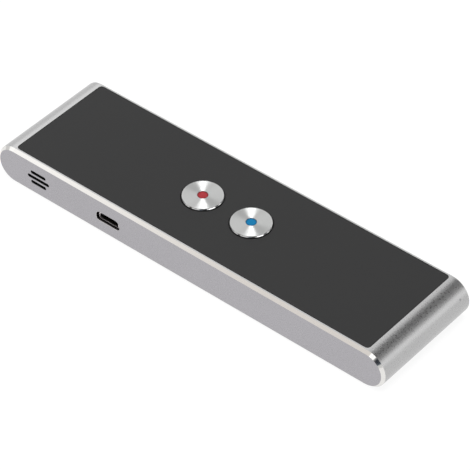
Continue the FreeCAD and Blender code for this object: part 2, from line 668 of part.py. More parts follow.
usb = body("usb")
mouth_y = relief_y - 0.05
sk = sketch(usb, "usb_outline", "XZ_Plane", mouth_y)
polygon(sk, usb_profile(E.of(0)), "o")
pad(usb, "usb_block", sk, usb_len, reverse=True)
dress(usb, "usb_corners", "Fillet", 0.4, lambda e: along(e, (0, 1, 0)))
sk = sketch(usb, "usb_bore_outline", "XZ_Plane", mouth_y)
polygon(sk, usb_profile(usb_sheet), "i")
pocket(usb, "usb_bore", sk, usb_len)
keep(usb, "usb_shell")

tongue = body("tongue")
sk = sketch(tongue, "tongue_block_outline", "XZ_Plane", mouth_y - usb_len + 1.2)
polygon(sk, usb_profile(usb_sheet + 0.02), "t")
pad(tongue, "tongue_block", sk, 1.2, reverse=True)
tongue_z = board_top + 1.55
sk = sketch(tongue, "tongue_outline", "XZ_Plane", mouth_y - 0.7)
rectangle(sk, port_x, tongue_z + 0.3, 3.8, 0.6, "g")
pad(tongue, "tongue_blade", sk, usb_len - 0.7 - 0.6, reverse=True)
keep(tongue, "usb_tongue")
keep(group_of("contact_set", [
    box("usb_contact_%d" % i, port_x - 1.3 + 0.65 * i - 0.15, port_x - 1.3 + 0.65 * i + 0.15,
        -(mouth_y - 0.9), -(mouth_y - usb_len + 1.25), tongue_z - 0.1, tongue_z)
    for i in range(5)]), "usb_contacts")

# ---- battery ---------------------------------------------------------------------------------

cell_low = floor_thk + 0.2
cell = body("cell")
sk = sketch(cell, "cell_outline", "XY_Plane", cell_low)
rectangle(sk, cell_x, 0, cell_len, cell_wid)
pad(cell, "cell_block", sk, cell_thk)
dress(cell, "cell_corners", "Fillet", 1.6, lambda e: along(e, (0, 0, 1)))
dress(cell, "cell_edges", "Fillet", 0.8, lambda e: on_plane(e, "z", cell_low.v + cell_thk.v))
keep(cell, "battery_cell")
cell_x0 = cell_x - cell_len / 2
keep(box("cell_tape", cell_x - 11, cell_x + 11, -11, 11, floor_thk, cell_low), "battery_tape")
pcm_x0 = cell_x0 - 1.0
keep(box("pcm", pcm_x0, cell_x0, -11, 11, 2.2, 6.6), "battery_protection_board")
plug = box("plug_block", 13.6, 18.0, -8.6, -4.6, board_top, board_top + 2.0)
plug_top = box("plug_latch", 15.0, 16.6, -7.6, -5.6, board_top + 2.0, board_top + 2.3)
keep(fuse("plug", [plug, plug_top]), "battery_connector")


def lead(name, pts, dia):
    """Round wire along straight runs joined by tangent arcs. Prints the bend radii."""
    pts = [V(*[E.of(c).v for c in p]) for p in pts]
    edges, here, radii = [], pts[0], []
    for a, p, b in zip(pts, pts[1:], pts[2:]):
        u, w = (a - p), (b - p)
        la, lb = u.Length, w.Length
        u, w = u / la, w / lb
        turn = math.pi - u.getAngle(w)
        r = 0.45 * min(la, lb) / math.tan(turn / 2)
        back = r * math.tan(turn / 2)
        s, e = p + u * back, p + w * back
        bis = (u + w)
        m = p + bis / bis.Length * (r / math.cos(turn / 2) - r)
        edges.append(Part.makeLine(here, s))
        edges.append(Part.Arc(s, m, e).toShape())
        here = e
        radii.append(r)
    edges.append(Part.makeLine(here, pts[-1]))
    wire = Part.Wire(edges)
    d = pts[1] - pts[0]
    ring = Part.Wire(Part.makeCircle(dia.v / 2, pts[0], d))
    solid = wire.makePipeShell([ring], True, False, 2)
    want = math.pi * dia.v ** 2 / 4 * wire.Length
    print("%s: length %.2f, radii %s, volume %.3f for %.3f" % (
        name, wire.Length, ", ".join("%.2f" % r for r in radii), solid.Volume, want))
    if abs(solid.Volume - want) > 0.02 * want:
        raise RuntimeError(name + " has the wrong volume")
    o = doc.addObject("Part::Feature", name)
    o.Shape = solid
    return o


lead_dia = dim("lead_dia", 0.8, "insulated lead diameter")
doc.recompute()
plug_x1 = 18.0
keep(group_of("battery_lead_set", [
    lead("battery_lead_red", [(pcm_x0, 4.0, 5.9), (23.4, 4.0, 5.9), (20.6, -5.6, 5.9), (plug_x1, -5.6, 5.9)], lead_dia),
    lead("battery_lead_black", [(pcm_x0, 2.4, 5.9), (23.6, 2.4, 5.9), (20.8, -7.2, 5.9), (plug_x1, -7.2, 5.9)], lead_dia)]),
    "battery_leads")

# ---- loudspeaker -----------------------------------------------------------------------------
# Sealed box whose front wall opens towards the slots; the driver lies flat inside it.

sb_x0, sb_x1, sb_y0, sb_y1, sb_top = -60.6, -47.6, -16.4, 9.6, 8.3
outer = box("spk_outer", sb_x0, sb_x1, sb_y0, sb_y1, floor_thk, sb_top)
inner = box("spk_inner", sb_x0 + 0.8, sb_x1 - 0.8, sb_y0 + 0.8, sb_y1 - 0.8, floor_thk + 0.8, sb_top + 0.1)
mouth = box("spk_mouth", slot_x - 4.5, slot_x + 4.5, sb_y0 - 0.1, sb_y0 + 0.9, 3.7, sb_top + 0.1)
keep(cut("spk_box", outer, [inner, mouth]), "speaker_box")
keep(box("spk_lid", sb_x0, sb_x1, sb_y0, sb_y1, sb_top, sb_top + 0.7), "speaker_box_lid")
drv_x, drv_y = E.of(-54.1), E.of(-1.0)
drv_low = floor_thk + 0.8


def centred(name, lx, ly, z0, z1):
    return box(name, drv_x - E.of(lx) / 2, drv_x + E.of(lx) / 2, drv_y - E.of(ly) / 2, drv_y + E.of(ly) / 2, z0, z1)


yoke = centred("yoke_block", 7.6, 10.6, drv_low, drv_low + 2.4)
keep(cut("yoke", yoke, [centred("yoke_well", 6.2, 9.2, drv_low + 0.6, drv_low + 2.5)]), "speaker_yoke")
keep(centred("magnet", 4.4, 7.4, drv_low + 0.6, drv_low + 2.0), "speaker_magnet")
coil = centred("coil_block", 5.7, 8.7, drv_low + 1.2, drv_low + 3.1)
keep(cut("coil", coil, [centred("coil_hole", 4.9, 7.9, drv_low + 1.1, drv_low + 3.2)]), "speaker_coil")
basket = centred("basket_block", 11.0, 15.0, drv_low, drv_low + 3.4)
basket_well = centred("basket_well", 7.8, 10.8, drv_low - 0.1, drv_low + 3.5)
basket_step = centred("basket_step", 10.4, 14.4, drv_low + 3.1, drv_low + 3.5)
keep(cut("basket", basket, [basket_well, basket_step]), "speaker_basket")
film = centred("film_plate", 10.2, 14.2, drv_low + 3.1, drv_low + 3.25)
film_dome = centred("film_dome", 4.6, 7.6, drv_low + 3.25, drv_low + 3.5)
keep(fuse("film", [film, film_dome]), "speaker_diaphragm")

# black liner: plate behind the wall with three hollow snouts that line the slots
wall_in = -(body_wid / 2 - slot_wall)
liner = body("liner")
sk = sketch(liner, "liner_outline", "XZ_Plane", body_wid / 2 - slot_wall)
rectangle(sk, slot_x, slot_z, 11.8, 6.2)
pad(liner, "liner_plate", sk, 0.6, reverse=True)
snout_gap = 0.03
sk = sketch(liner, "snout_outline", "XZ_Plane", body_wid / 2 - 0.03)
for tag, dz, length in (("a", slot_pitch, slot_short), ("b", E.of(0), slot_long), ("c", -slot_pitch, slot_short)):
    obround(sk, slot_x, slot_z + dz, length - 2 * snout_gap, slot_ht - 2 * snout_gap, tag)
pad(liner, "snouts", sk, slot_wall - 0.03 + 0.1, reverse=True)
sk = sketch(liner, "snout_bore_outline", "XZ_Plane", body_wid / 2)
for tag, dz, length in (("a", slot_pitch, slot_short), ("b", E.of(0), slot_long), ("c", -slot_pitch, slot_short)):
    obround(sk, slot_x, slot_z + dz, length - 0.3, slot_ht - 0.3, tag)
pocket(liner, "snout_bores", sk, slot_wall + 0.7)
keep(liner, "speaker_grille")
mesh_y0 = wall_in + 0.6
keep(box("spk_mesh", slot_x - 5.7, slot_x + 5.7, mesh_y0, mesh_y0 + 0.15, 3.3, 9.2), "speaker_mesh")
g_out = box("gasket_outer", slot_x - 5.7, slot_x + 5.7, mesh_y0 + 0.15, sb_y0, 3.1, 9.1)
g_in = box("gasket_inner", slot_x - 4.5, slot_x + 4.5, mesh_y0, sb_y0 + 0.1, 3.9, 8.7)
keep(cut("spk_gasket", g_out, [g_in]), "speaker_gasket")
keep(group_of("speaker_lead_set", [
    lead("speaker_lead_%d" % i, [(sb_x1, y, 6.6), (-46.0, y, 6.6), (-43.6, y + 0.4, 5.2), (-41.2, y + 0.4, 5.2)], lead_dia)
    for i, y in enumerate((4.0, 6.0))]), "speaker_leads")

# ---- microphone ------------------------------------------------------------------------------

boot_y, boot_z = 14.6, 9.1
wall_x = cavity_len / 2
boot = cyl_x("boot_block", 3.4, wall_x - 2.1, wall_x, boot_y, boot_z)
boot_cup = cyl_x("boot_cup", 3.04, wall_x - 2.2, wall_x - 0.6, boot_y, boot_z)
boot_hole = cyl_x("boot_hole", 2.8, wall_x - 0.7, wall_x + 0.1, boot_y, boot_z)
keep(cut("boot", boot, [boot_cup, boot_hole]), "microphone_boot")
can = cyl_x("can", 3.0, wall_x - 2.1, wall_x - 0.65, boot_y, boot_z)
can_hole = cyl_x("can_hole", 0.8, wall_x - 0.85, wall_x - 0.6, boot_y, boot_z)
keep(cut("capsule", can, [can_hole]), "microphone_capsule")
flex_a = box("mic_flex_run", 14.0, 60.4, 16.55, 16.65, 6.9, 8.7)
flex_b = box("mic_flex_tail", 60.3, 60.4, 13.6, 16.65, 6.9, 10.0)
flex_c = box("mic_flex_drop", 14.0, 17.5, 16.55, 16.65, 5.2, 8.7)
flex_d = box("mic_flex_foot", 14.0, 17.5, 16.3, 16.65, 5.2, 5.3)
keep(fuse("mic_flex", [flex_a, flex_b, flex_c, flex_d]), "microphone_flex")
keep(box("flex_socket", 13.4, 18.2, 14.8, 16.3, board_top, board_top + 1.0), "flex_connector")
# small plug in the hole, its outer end on the curve of the rounded end
pin = cyl_x("mic_plug_rod", mic_hole_dia - 0.04, wall_x + 5.4, body_len / 2, mic_y, mic_z)
curve = cyl_y("mic_plug_curve", body_thk - 0.04, body_len / 2 - end_rad, 12.0, 18.0, end_rad)
keep(common("mic_plug", pin, curve), "microphone_mesh")

# ---- antenna: folded strip on the inner frame, under the non-metal front plate ------------------

ant = [box("ant_feed", -41.0, -39.8, -14.0, 14.0, frame_top, frame_top + 0.12)]
for i in range(8):
    y = -14.0 + 3.6 * i
    ant.append(box("ant_bar_%d" % i, -39.8, -29.8, y, y + 1.2, frame_top, frame_top + 0.12))
for i in range(0, 7, 2):
    y = -14.0 + 3.6 * i
    ant.append(box("ant_link_%d" % i, -29.8, -28.6, y, y + 4.8, frame_top, frame_top + 0.12))
keep(fuse("antenna", ant), "antenna_flex")

# ---- check and write ---------------------------------------------------------------------------

doc.recompute()
bad = []
for o in doc.Objects:
    if any(s in ("Invalid", "Error") for s in o.State):
        bad.append("%s: %s" % (o.Name, o.State))
names = [n for n, _ in made]
if len(set(names)) != len(names):
    bad.append("a node name is used twice")
for node, obj in made:
    shape = obj.Shape
    if shape.isNull() or not shape.isValid() or not shape.Solids:
        bad.append("%s has no valid solid" % node)
if bad:
    raise RuntimeError("; ".join(bad))

os.makedirs("parts", exist_ok=True)
for old in os.listdir("parts"):
    if old.endswith(".step") and old[:-5] not in names:
        os.remove(os.path.join("parts", old))
for node, obj in made:
    obj.Shape.exportStep("parts/%s.step" % node)
    print("%-26s %2d solids %10.3f mm3" % (node, len(obj.Shape.Solids), obj.Shape.Volume))
print("%d nodes" % len(made))
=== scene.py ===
import json
import math

import bpy
from mathutils import Matrix, Vector

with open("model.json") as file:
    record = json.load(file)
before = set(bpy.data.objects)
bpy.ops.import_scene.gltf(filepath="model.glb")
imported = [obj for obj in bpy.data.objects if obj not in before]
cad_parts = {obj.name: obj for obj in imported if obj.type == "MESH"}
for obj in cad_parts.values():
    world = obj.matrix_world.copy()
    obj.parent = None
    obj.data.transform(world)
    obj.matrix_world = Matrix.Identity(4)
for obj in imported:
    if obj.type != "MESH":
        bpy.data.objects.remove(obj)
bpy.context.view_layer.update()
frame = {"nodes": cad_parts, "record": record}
nodes = frame["nodes"]
slots = {s["node"]: s["material_slot"] for s in frame["record"]["subparts"]}
scene = bpy.context.scene
MM = 0.001

# ---- camera ------------------------------------------------------------------------------------

right = Vector((0.767603, 0.640929, 0.0))
up = Vector((-0.433088, 0.518684, 0.737163))
back = Vector((0.472467, -0.565846, 0.675719))
cam_data = bpy.data.cameras.new("camera")
cam_data.sensor_width = 36.0
cam_data.lens = 209.515
cam_data.clip_start = 0.01
cam_data.dof.use_dof = False
camera = bpy.data.objects.new("camera", cam_data)
m = Matrix((right, up, back)).transposed().to_4x4()
m.translation = Vector((0.36434, -0.43318, 0.52209))
camera.matrix_world = m
scene.collection.objects.link(camera)
scene.camera = camera

scene.view_settings.view_transform = "Standard"
scene.view_settings.look = "None"
scene.view_settings.exposure = 0.0
scene.view_settings.gamma = 1.0

# ---- node helpers ------------------------------------------------------------------------------


class Tree:
    """Short way to write node trees: t.add("Mix", prop values, socket values) and links by passing sockets."""

    def __init__(self, owner):
        owner.use_nodes = True
        self.nt = owner.node_tree
        self.nt.nodes.clear()

    def add(self, kind, props=None, **inputs):
        n = self.nt.nodes.new("ShaderNode" + kind)
        for k, v in (props or {}).items():
            setattr(n, k, v)
        for k, v in inputs.items():
            s = n.inputs[int(k[1:])] if k[0] == "i" and k[1:].isdigit() else n.inputs[k.replace("_", " ")]
            self.put(s, v)
        return n

    def put(self, socket, v):
        if isinstance(v, bpy.types.NodeSocket):
            self.nt.links.new(v, socket)
        elif isinstance(v, (tuple, list)) and len(v) == 3 and len(socket.default_value) == 4:
            socket.default_value = (*v, 1.0)
        else:
            socket.default_value = v

    def math(self, op, a, b=0.0, c=0.0, clamp=False):
        n = self.add("Math", {"operation": op, "use_clamp": clamp}, i0=a, i1=b, i2=c)
        return n.outputs[0]

    def vmath(self, op, a, b=(0, 0, 0)):
        n = self.add("VectorMath", {"operation": op}, i0=a, i1=b)
        return n.outputs["Value"] if op in ("LENGTH", "DOT_PRODUCT", "DISTANCE") else n.outputs["Vector"]

    def step(self, v, lo, hi, a=0.0, b=1.0, smooth=True):
        n = self.add("MapRange", {"interpolation_type": "SMOOTHSTEP" if smooth else "LINEAR"},
                     Value=v, From_Min=lo, From_Max=hi, To_Min=a, To_Max=b)
        return n.outputs[0]

    def mix(self, fac, a, b, blend="MIX"):
        n = self.add("Mix", {"data_type": "RGBA", "blend_type": blend})
        self.put(n.inputs[0], fac)
        self.put(n.inputs[6], a)
        self.put(n.inputs[7], b)
        return n.outputs[2]

    def noise(self, scale, detail=2.0, rough=0.5, vec=None, dims="3D", w=None, distort=0.0):
        n = self.add("TexNoise", {"noise_dimensions": dims}, Scale=scale, Detail=detail, Roughness=rough,
                     Distortion=distort)
        if vec is not None and dims != "1D":
            self.put(n.inputs["Vector"], vec)
        if w is not None:
            self.put(n.inputs["W"], w)
        return n.outputs[0]

    def bump(self, height, strength, distance, normal=None):
        n = self.add("Bump", None, Height=height, Strength=strength, Distance=distance)
        if normal is not None:
            self.put(n.inputs["Normal"], normal)
        return n.outputs[0]

    def obj(self):
        return self.add("TexCoord").outputs["Object"]

    def shader(self, **inputs):
        n = self.add("BsdfPrincipled", None, **inputs)
        out = self.add("OutputMaterial")
        self.nt.links.new(n.outputs[0], out.inputs["Surface"])
        return n


def material(name):
    mat = bpy.data.materials.new(name)
    return mat, Tree(mat)


def plastic(name, colour, rough=0.5, grain=0.25, depth=0.02, spec=0.5, vary=0.12, mottle=6.0):
    """Moulded plastic: fine spark-eroded grain, slight colour and gloss variation. Sizes in mm."""
    mat, t = material(name)
    p = t.obj()
    fine = t.noise(1 / (grain * MM), 3.0, 0.6, p)
    broad = t.noise(1 / (mottle * MM), 3.0, 0.5, p)
    tone = t.step(broad, 0.3, 0.7, 1 - vary, 1 + vary, smooth=False)
    col = t.mix(1.0, colour, t.add("CombineXYZ", None, X=tone, Y=tone, Z=tone).outputs[0], "MULTIPLY")
    r = t.math("ADD", t.step(fine, 0.3, 0.7, rough - 0.06, rough + 0.06, smooth=False),
               t.step(broad, 0.3, 0.7, -0.03, 0.03, smooth=False))
    t.shader(Base_Color=col, Roughness=r, Specular_IOR_Level=spec, Normal=t.bump(fine, 0.5, depth * MM))
    return mat


def metal(name, colour, rough=0.3, streak=(1, 1, 1), grain=0.2, depth=0.01, vary=0.08, spot=3.0):
    """Bare or plated metal with fine, optionally directional, working marks. Sizes in mm."""
    mat, t = material(name)
    p = t.obj()
    stretched = t.vmath("MULTIPLY", p, streak)
    fine = t.noise(1 / (grain * MM), 4.0, 0.6, stretched)
    broad = t.noise(1 / (spot * MM), 2.0, 0.5, p)
    tone = t.step(broad, 0.3, 0.7, 1 - vary, 1 + vary, smooth=False)
    col = t.mix(1.0, colour, t.add("CombineXYZ", None, X=tone, Y=tone, Z=tone).outputs[0], "MULTIPLY")
    r = t.step(fine, 0.3, 0.7, max(0.03, rough - 0.07), rough + 0.07, smooth=False)
    t.shader(Base_Color=col, Metallic=1.0, Roughness=r, Normal=t.bump(fine, 0.4, depth * MM))
    return mat


# ---- visible materials ---------------------------------------------------------------------------


def housing_metal():
    """Bead-blasted anodised aluminium with diamond-cut, mirror-bright chamfers along both long sides."""
    mat, t = material("housing_metal")
    p = t.obj()
    ny = t.add("SeparateXYZ", None, Vector=t.add("NewGeometry").outputs["True Normal"]).outputs[1]
    ny = t.math("ABSOLUTE", ny)
    cut = t.math("MULTIPLY", t.step(ny, 0.55, 0.62), t.step(ny, 0.80, 0.87, 1.0, 0.0))
    side = t.step(ny, 0.88, 0.96)
    blast = t.noise(1 / (0.45 * MM), 1.0, 0.5, p)
    cloud = t.noise(1 / (14 * MM), 3.0, 0.5, p)
    tone = t.step(cloud, 0.25, 0.75, 0.985, 1.015, smooth=False)
    # painted shade: the long side faces get a darker, slightly lavender colour than the ends, chosen by the way each
    # face points
    satin_with_side_shade = t.mix(side, (0.430, 0.429, 0.430), (0.388, 0.378, 0.398))
    satin = t.mix(1.0, satin_with_side_shade, t.add("CombineXYZ", None, X=tone, Y=tone, Z=tone).outputs[0], "MULTIPLY")
    sparkle = t.step(blast, 0.35, 0.65, 0.975, 1.025, smooth=False)
    satin = t.mix(1.0, satin, t.add("CombineXYZ", None, X=sparkle, Y=sparkle, Z=sparkle).outputs[0], "MULTIPLY")
    # painted shade: the cut-outs' inner walls round the port and speaker slots are painted dark, standing in for the
    # shade inside them
    xyz = t.add("SeparateXYZ", None, Vector=p).outputs
    painted_shade_inside = t.math("MULTIPLY", t.step(xyz[1], -19.47 * MM, -19.42 * MM), t.step(xyz[1], -17.0 * MM, -16.9 * MM, 1.0, 0.0))
    low_part = t.math("MULTIPLY", t.step(xyz[2], 3.5 * MM, 3.6 * MM), t.step(xyz[2], 8.9 * MM, 9.0 * MM, 1.0, 0.0))
    near_x = t.math("MULTIPLY", t.step(xyz[0], -61.0 * MM, -60.9 * MM), t.step(xyz[0], -20.0 * MM, -19.9 * MM, 1.0, 0.0))
    painted_shade_inside = t.math("MULTIPLY", painted_shade_inside, t.math("MULTIPLY", low_part, near_x))
    satin = t.mix(painted_shade_inside, satin, (0.06, 0.055, 0.06))
    # lengthwise cutter marks on the chamfers
    lines = t.noise(1 / (0.05 * MM), 2.0, 0.5, t.vmath("MULTIPLY", p, (0.02, 1.0, 1.0)))
    colour = t.mix(cut, satin, (0.74, 0.73, 0.71))
    r_satin = t.step(blast, 0.3, 0.7, 0.26, 0.34, smooth=False)
    r_cut = t.step(lines, 0.3, 0.7, 0.07, 0.13, smooth=False)
    rough = t.add("Mix", {"data_type": "FLOAT"})
    t.put(rough.inputs[0], cut)
    t.put(rough.inputs[2], r_satin)
    t.put(rough.inputs[3], r_cut)
    height = t.add("Mix", {"data_type": "FLOAT"})
    t.put(height.inputs[0], cut)
    t.put(height.inputs[2], blast)
    t.put(height.inputs[3], t.math("MULTIPLY", lines, 0.05))
    t.shader(Base_Color=colour, Metallic=1.0, Roughness=rough.outputs[0], Normal=t.bump(height.outputs[0], 0.12, 0.02 * MM))
    return mat


def front_coating():
    """Smooth satin dark coating with a very fine tooth."""
    mat, t = material("front_coating")
    p = t.obj()
    fine = t.noise(1 / (0.09 * MM), 3.0, 0.6, p)
    cloud = t.noise(1 / (30 * MM), 2.0, 0.5, p)
    tone = t.step(cloud, 0.25, 0.75, 0.98, 1.02, smooth=False)
    col = t.mix(1.0, (0.0140, 0.0140, 0.0142), t.add("CombineXYZ", None, X=tone, Y=tone, Z=tone).outputs[0], "MULTIPLY")
    r = t.step(fine, 0.3, 0.7, 0.42, 0.52, smooth=False)
    t.shader(Base_Color=col, Roughness=r, Specular_IOR_Level=0.2, Normal=t.bump(fine, 0.3, 0.006 * MM))
    return mat


def spun_metal(name, cx):
    """Spun cap: grooves run in circles round the button's own axis; the bevel is polished."""
    mat, t = material(name)
    p = t.obj()
    rel = t.vmath("SUBTRACT", p, (cx, 0, 0))
    flat = t.vmath("MULTIPLY", rel, (1, 1, 0))
    radius = t.vmath("LENGTH", flat)
    across = t.vmath("NORMALIZE", flat)  # the gloss spreads at right angles to the grooves
    nz = t.add("SeparateXYZ", None, Vector=t.add("NewGeometry").outputs["True Normal"]).outputs[2]
    face = t.step(nz, 0.90, 0.97)
    rings = t.noise(1 / (0.035 * MM), 2.0, 0.6, dims="1D", w=radius)
    wide = t.noise(1 / (0.45 * MM), 2.0, 0.5, dims="1D", w=radius)
    tone = t.step(rings, 0.3, 0.7, 0.93, 1.05, smooth=False)
    grey = t.add("CombineXYZ", None, X=tone, Y=tone, Z=tone).outputs[0]
    col = t.mix(face, (0.80, 0.80, 0.80), t.mix(1.0, (0.53, 0.535, 0.53), grey, "MULTIPLY"))
    rough_face = t.math("ADD", t.step(rings, 0.3, 0.7, 0.37, 0.42, smooth=False),
                        t.step(wide, 0.3, 0.7, -0.02, 0.02, smooth=False))
    r = t.add("Mix", {"data_type": "FLOAT"})
    t.put(r.inputs[0], face)
    t.put(r.inputs[2], 0.10)
    t.put(r.inputs[3], rough_face)
    t.shader(Base_Color=col, Metallic=1.0, Roughness=r.outputs[0], Anisotropic=1.0, Tangent=across,
             Normal=t.bump(t.math("MULTIPLY", rings, face), 0.35, 0.004 * MM))
    return mat


def enamel(name, colour, deep, cx):
    """Coloured insert: glossy, with painted shade making it darker towards its rim, standing in for the shadow of its
    recess.
    """
    mat, t = material(name)
    p = t.obj()
    radius = t.vmath("LENGTH", t.vmath("MULTIPLY", t.vmath("SUBTRACT", p, (cx, 0, 0)), (1, 1, 0)))
    # painted shade: the colour darkens towards the rim as if shaded by the recess
    rim_painted_shade = t.step(radius, 1.0 * MM, 1.6 * MM)
    cloud = t.noise(1 / (0.5 * MM), 3.0, 0.6, p)
    col = t.mix(rim_painted_shade, colour, deep)
    col = t.mix(t.step(cloud, 0.4, 0.8, 0.0, 0.25), col, deep)
    r = t.step(cloud, 0.3, 0.7, 0.22, 0.32, smooth=False)
    t.shader(Base_Color=col, Roughness=r, Specular_IOR_Level=0.08, Normal=t.bump(cloud, 0.2, 0.01 * MM))
    return mat


def cloth(name, colour, pitch=0.12):
    """Fine woven acoustic mesh."""
    mat, t = material(name)
    p = t.obj()
    s = t.add("SeparateXYZ", None, Vector=p)
    k = 2 * math.pi / (pitch * MM)
    a = t.math("SINE", t.math("MULTIPLY", s.outputs[0], k))
    b = t.math("SINE", t.math("MULTIPLY", s.outputs[2], k))
    weave = t.step(t.math("MULTIPLY", a, b), -0.6, 0.6)
    col = t.mix(weave, colour, tuple(min(1.0, c * 4 + 0.004) for c in colour))
    t.shader(Base_Color=col, Roughness=0.85, Specular_IOR_Level=0.1, Sheen_Weight=0.1, Normal=t.bump(weave, 0.6, 0.03 * MM))
    return mat


def socket():
    """Plated sheet: bright on the rolled lip of the mouth; further in, its colour is painted dark as painted shade
    inside the socket.
    """
    mat, t = material("socket_sheet")
    p = t.obj()
    y = t.add("SeparateXYZ", None, Vector=p).outputs[1]
    # painted shade: past the lip the sheet is coloured dark, standing in for the shade inside the socket
    deep = t.step(y, -18.62 * MM, -18.35 * MM)
    fine = t.noise(1 / (0.1 * MM), 3.0, 0.6, t.vmath("MULTIPLY", p, (0.2, 1, 1)))
    col = t.mix(deep, (0.66, 0.62, 0.62), (0.20, 0.19, 0.19))
    t.shader(Base_Color=col, Metallic=1.0, Roughness=t.step(fine, 0.3, 0.7, 0.26, 0.38, smooth=False),
             Normal=t.bump(fine, 0.4, 0.006 * MM))
    return mat


def board_mask():
    """Solder mask over copper tracks, with bare plated pads."""
    mat, t = material("board_mask")
    p = t.obj()
    bricks = t.add("TexBrick", {"offset": 0.5}, Vector=p, Scale=1 / (2.2 * MM), Mortar_Size=0.06, Mortar_Smooth=0.2,
                   Brick_Width=2.2, Row_Height=0.35, Color1=(0, 0, 0), Color2=(0, 0, 0), Mortar=(1, 1, 1))
    tracks = bricks.outputs["Fac"]
    vor = t.add("TexVoronoi", {"feature": "F1"}, Vector=t.vmath("MULTIPLY", p, (1, 1, 0)), Scale=1 / (2.6 * MM), Randomness=0.7)
    pads = t.step(vor.outputs["Distance"], 0.10, 0.13, 1.0, 0.0)
    col = t.mix(tracks, (0.006, 0.075, 0.035), (0.012, 0.15, 0.06))
    col = t.mix(pads, col, (0.75, 0.55, 0.25))
    fine = t.noise(1 / (0.3 * MM), 3.0, 0.5, p)
    t.shader(Base_Color=col, Metallic=pads, Roughness=t.step(fine, 0.3, 0.7, 0.28, 0.38, smooth=False), Coat_Weight=0.2,
             Coat_Roughness=0.15, Normal=t.bump(t.math("MAXIMUM", tracks, pads), 0.6, 0.02 * MM))
    return mat


def ceramic():
    """Small fired parts: each block takes its own tone."""
    mat, t = material("ceramic")
    p = t.obj()
    cell = t.add("TexVoronoi", {"feature": "F1"}, Vector=t.vmath("MULTIPLY", p, (1, 1, 0)), Scale=1 / (3.0 * MM), Randomness=1.0)
    tone = t.add("SeparateColor", None, Color=cell.outputs["Color"]).outputs[0]
    col = t.mix(tone, (0.45, 0.34, 0.22), (0.05, 0.05, 0.055))
    fine = t.noise(1 / (0.15 * MM), 3.0, 0.6, p)
    t.shader(Base_Color=col, Roughness=t.step(fine, 0.3, 0.7, 0.35, 0.5, smooth=False), Normal=t.bump(fine, 0.4, 0.01 * MM))
    return mat


def foil():
    """Laminated pouch: bright foil, softly dented."""
    mat, t = material("cell_foil")
    p = t.obj()
    dent = t.noise(1 / (7 * MM), 3.0, 0.5, p)
    fine = t.noise(1 / (0.4 * MM), 3.0, 0.6, p)
    col = t.mix(t.step(dent, 0.3, 0.7), (0.52, 0.53, 0.56), (0.62, 0.63, 0.65))
    n = t.bump(dent, 0.6, 0.15 * MM, t.bump(fine, 0.3, 0.01 * MM))
    t.shader(Base_Color=col, Metallic=1.0, Roughness=t.step(fine, 0.3, 0.7, 0.26, 0.36, smooth=False), Normal=n)
    return mat


def winding():
    """Enamelled copper turns, one above the other."""
    mat, t = material("coil_copper")
    p = t.obj()
    z = t.add("SeparateXYZ", None, Vector=p).outputs[2]
    turns = t.step(t.math("SINE", t.math("MULTIPLY", z, 2 * math.pi / (0.12 * MM))), -1, 1, smooth=False)
    col = t.mix(turns, (0.30, 0.10, 0.03), (0.80, 0.36, 0.16))
    t.shader(Base_Color=col, Metallic=1.0, Roughness=0.3, Coat_Weight=0.5, Normal=t.bump(turns, 0.8, 0.05 * MM))
    return mat


def leads(name, y_split, low, high):
    """Insulated leads, one colour each side of a line across the pair."""
    mat, t = material(name)
    p = t.obj()
    s = t.add("SeparateXYZ", None, Vector=p)
    side = t.math("ADD", s.outputs[1], t.math("MULTIPLY", s.outputs[0], y_split[0]))
    col = t.mix(t.step(side, y_split[1] - 0.01 * MM, y_split[1] + 0.01 * MM), low, high)
    fine = t.noise(1 / (0.3 * MM), 3.0, 0.5, p)
    t.shader(Base_Color=col, Roughness=t.step(fine, 0.3, 0.7, 0.38, 0.5, smooth=False), Normal=t.bump(fine, 0.3, 0.01 * MM))
    return mat


